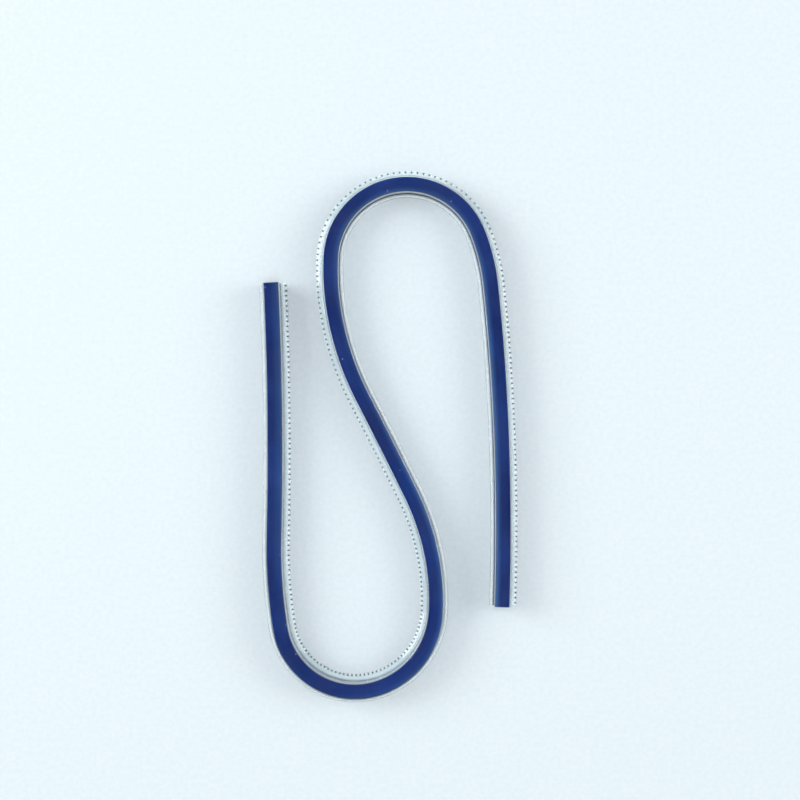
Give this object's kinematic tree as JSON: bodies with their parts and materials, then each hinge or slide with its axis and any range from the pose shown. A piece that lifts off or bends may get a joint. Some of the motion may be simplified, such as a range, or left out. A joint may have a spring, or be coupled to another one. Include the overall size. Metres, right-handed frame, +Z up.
{
  "type": "flexible curve ruler",
  "caption": "Bendable drawing curve: a lead and spring-steel core in a blue jacket and a clear sleeve with a pencil edge and a raised inking edge. It keeps the shape it is bent to.",
  "frame": {"origin": "on the base plane, below the centre of the packed ruler's bounding box", "axes": "+Z up from the surface that the ruler lies on; +Y along the long way of the packed shape, towards the bend next to end B; +X towards end B's leg"},
  "size_m": [0.0678, 0.1392, 0.0089],
  "materials": {
    "clear_pvc": "clear, glossy",
    "blue_pvc": "satin",
    "dark_blue_pvc": "matt",
    "lead": "dull grey",
    "spring_steel": "bright"
  },
  "bodies": {
    "link_01": {"clear_sleeve_01": "clear_pvc", "blue_jacket_01": "blue_pvc", "lead_core_01": "lead", "spring_strip_01": "spring_steel", "end_plug_a": "dark_blue_pvc"},
    "link_02": {"clear_sleeve_02": "clear_pvc", "blue_jacket_02": "blue_pvc", "lead_core_02": "lead", "spring_strip_02": "spring_steel"},
    "link_03": {"clear_sleeve_03": "clear_pvc", "blue_jacket_03": "blue_pvc", "lead_core_03": "lead", "spring_strip_03": "spring_steel"},
    "link_04": {"clear_sleeve_04": "clear_pvc", "blue_jacket_04": "blue_pvc", "lead_core_04": "lead", "spring_strip_04": "spring_steel"},
    "link_05": {"clear_sleeve_05": "clear_pvc", "blue_jacket_05": "blue_pvc", "lead_core_05": "lead", "spring_strip_05": "spring_steel"},
    "link_06": {"clear_sleeve_06": "clear_pvc", "blue_jacket_06": "blue_pvc", "lead_core_06": "lead", "spring_strip_06": "spring_steel"},
    "link_07": {"clear_sleeve_07": "clear_pvc", "blue_jacket_07": "blue_pvc", "lead_core_07": "lead", "spring_strip_07": "spring_steel"},
    "link_08": {"clear_sleeve_08": "clear_pvc", "blue_jacket_08": "blue_pvc", "lead_core_08": "lead", "spring_strip_08": "spring_steel"},
    "link_09": {"clear_sleeve_09": "clear_pvc", "blue_jacket_09": "blue_pvc", "lead_core_09": "lead", "spring_strip_09": "spring_steel"},
    "link_10": {"clear_sleeve_10": "clear_pvc", "blue_jacket_10": "blue_pvc", "lead_core_10": "lead", "spring_strip_10": "spring_steel"},
    "link_11": {"clear_sleeve_11": "clear_pvc", "blue_jacket_11": "blue_pvc", "lead_core_11": "lead", "spring_strip_11": "spring_steel"},
    "link_12": {"clear_sleeve_12": "clear_pvc", "blue_jacket_12": "blue_pvc", "lead_core_12": "lead", "spring_strip_12": "spring_steel"},
    "link_13": {"clear_sleeve_13": "clear_pvc", "blue_jacket_13": "blue_pvc", "lead_core_13": "lead", "spring_strip_13": "spring_steel"},
    "link_14": {"clear_sleeve_14": "clear_pvc", "blue_jacket_14": "blue_pvc", "lead_core_14": "lead", "spring_strip_14": "spring_steel", "end_plug_b": "dark_blue_pvc"}
  },
  "joints": [
    {"name": "bend_01", "type": "hinge", "parent": "link_02", "child": "link_01", "pos_m": [-0.02962, 0.00403, 0.00445], "axis": [0, 0, 1], "range_deg": [-4, 75]},
    {"name": "bend_02", "type": "hinge", "parent": "link_03", "child": "link_02", "pos_m": [-0.02982, -0.03197, 0.00445], "axis": [0, 0, 1], "range_deg": [-1, 70]},
    {"name": "bend_03", "type": "hinge", "parent": "link_04", "child": "link_03", "pos_m": [-0.02775, -0.05183, 0.00445], "axis": [0, 0, 1], "range_deg": [0, 80]},
    {"name": "bend_04", "type": "hinge", "parent": "link_05", "child": "link_04", "pos_m": [-0.01439, -0.06554, 0.00445], "axis": [0, 0, 1], "range_deg": [0, 85]},
    {"name": "bend_05", "type": "hinge", "parent": "link_06", "child": "link_05", "pos_m": [0.0044, -0.06153, 0.00445], "axis": [0, 0, 1], "range_deg": [0, 80]},
    {"name": "bend_06", "type": "hinge", "parent": "link_07", "child": "link_06", "pos_m": [0.01233, -0.04392, 0.00445], "axis": [0, 0, 1], "range_deg": [0, 70]},
    {"name": "bend_07", "type": "hinge", "parent": "link_08", "child": "link_07", "pos_m": [0.00816, -0.02043, 0.00445], "axis": [0, 0, 1], "range_deg": [0, 20]},
    {"name": "bend_08", "type": "hinge", "parent": "link_08", "child": "link_09", "pos_m": [-0.00935, 0.01552, 0.00445], "axis": [0, 0, 1], "range_deg": [0, 12]},
    {"name": "bend_09", "type": "hinge", "parent": "link_09", "child": "link_10", "pos_m": [-0.01516, 0.04274, 0.00445], "axis": [0, 0, 1], "range_deg": [0, 70]},
    {"name": "bend_10", "type": "hinge", "parent": "link_10", "child": "link_11", "pos_m": [-0.0083, 0.06076, 0.00445], "axis": [0, 0, 1], "range_deg": [0, 75]},
    {"name": "bend_11", "type": "hinge", "parent": "link_11", "child": "link_12", "pos_m": [0.01043, 0.06485, 0.00445], "axis": [0, 0, 1], "range_deg": [0, 75]},
    {"name": "bend_12", "type": "hinge", "parent": "link_12", "child": "link_13", "pos_m": [0.02397, 0.05125, 0.00445], "axis": [0, 0, 1], "range_deg": [-1, 70]},
    {"name": "bend_13", "type": "hinge", "parent": "link_13", "child": "link_14", "pos_m": [0.02933, 0.00368, 0.00445], "axis": [0, 0, 1], "range_deg": [-4, 70]}
  ]
}
